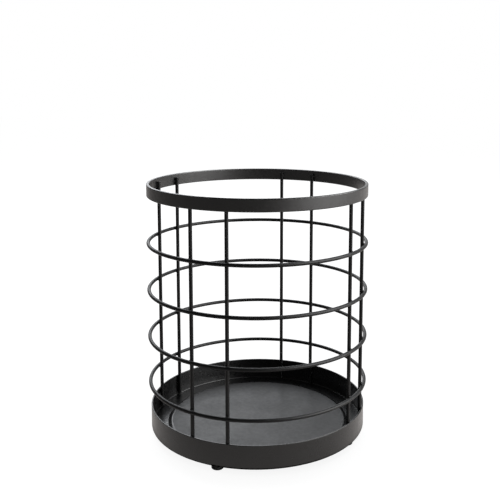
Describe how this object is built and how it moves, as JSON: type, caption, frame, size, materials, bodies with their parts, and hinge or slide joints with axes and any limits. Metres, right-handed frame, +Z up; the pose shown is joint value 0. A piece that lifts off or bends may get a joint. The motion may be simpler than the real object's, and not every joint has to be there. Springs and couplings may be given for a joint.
{
  "type": "utensil holder",
  "caption": "Round open-topped wire holder for kitchen utensils: paired upright wires and hoops welded to a flat rim band and a pressed tray on small rubber feet.",
  "frame": {"origin": "on the table under the middle of the holder, at the bottom of its feet", "axes": "+Z up along the holder's axis; pairs of uprights stand on the X and Y axes, each above a foot, with -Y the front"},
  "size_m": [0.1528, 0.1528, 0.1753],
  "materials": {
    "coated_steel": "satin black powder coat on steel wire and strip",
    "coated_sheet": "satin black powder coat on pressed steel sheet",
    "rubber_foot": "matt black rubber"
  },
  "bodies": {
    "root": {"rim_band": "coated_steel", "ring_1": "coated_steel", "ring_2": "coated_steel", "ring_3": "coated_steel", "ring_4": "coated_steel", "upright_right_1": "coated_steel", "upright_right_2": "coated_steel", "upright_back_1": "coated_steel", "upright_back_2": "coated_steel", "upright_left_1": "coated_steel", "upright_left_2": "coated_steel", "upright_front_1": "coated_steel", "upright_front_2": "coated_steel", "tray": "coated_sheet", "foot_right": "rubber_foot", "foot_back": "rubber_foot", "foot_left": "rubber_foot", "foot_front": "rubber_foot"}
  },
  "joints": []
}
